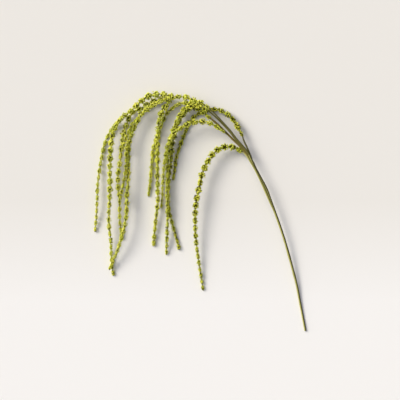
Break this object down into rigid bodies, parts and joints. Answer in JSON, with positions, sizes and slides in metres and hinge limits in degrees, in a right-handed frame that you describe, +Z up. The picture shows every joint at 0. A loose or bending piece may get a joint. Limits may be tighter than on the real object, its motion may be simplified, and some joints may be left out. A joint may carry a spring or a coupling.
{
  "type": "amaranth seed head",
  "caption": "Cut seed head of a hanging amaranth, laid flat: a bare green stalk that arches into a crown of seed clusters with long, thin tassels.",
  "frame": {"origin": "under the middle of the head's box, on the table it lies on", "axes": "+Z up from the table, +Y from the hanging tips towards the top of the arch, +X from the outermost tassel towards the stalk"},
  "size_m": [0.4251, 0.4793, 0.036],
  "materials": {
    "stem_green": "satin, olive green",
    "seed_green": "matt, yellow-green"
  },
  "bodies": {
    "root": {"stem": "stem_green", "crown": "seed_green", "tassel_1": "seed_green", "tassel_2": "seed_green", "tassel_3": "seed_green", "tassel_4": "seed_green", "tassel_5": "seed_green", "tassel_6": "seed_green", "tassel_7": "seed_green", "tassel_8": "seed_green", "tassel_9": "seed_green", "tassel_10": "seed_green"}
  },
  "joints": []
}
